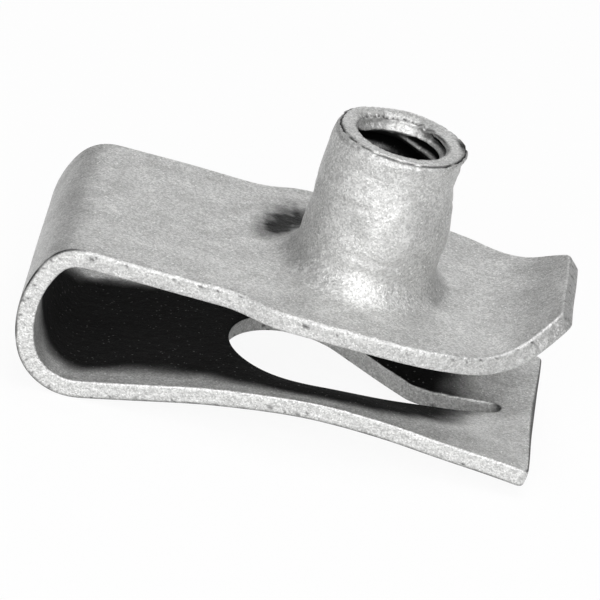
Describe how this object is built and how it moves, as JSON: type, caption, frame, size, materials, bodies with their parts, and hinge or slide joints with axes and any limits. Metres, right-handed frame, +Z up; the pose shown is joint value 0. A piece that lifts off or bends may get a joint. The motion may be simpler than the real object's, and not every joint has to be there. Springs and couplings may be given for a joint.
{
  "type": "u clip speed nut",
  "caption": "U-shaped clip of folded sheet steel with a drawn, tapped barrel on one leg and a pressed screw guide in the other.",
  "frame": {"origin": "centre of the nut's outline, on the surface that the bend and the lower leg rest on", "axes": "+X runs along the legs from the bend to the open end, +Z is up on the barrel's side"},
  "size_m": [0.0454, 0.026, 0.0252],
  "materials": {
    "zinc_coated_steel": "zinc-coated spring steel, fine matt grain"
  },
  "bodies": {
    "root": {"u_clip_nut": "zinc_coated_steel"}
  },
  "joints": []
}
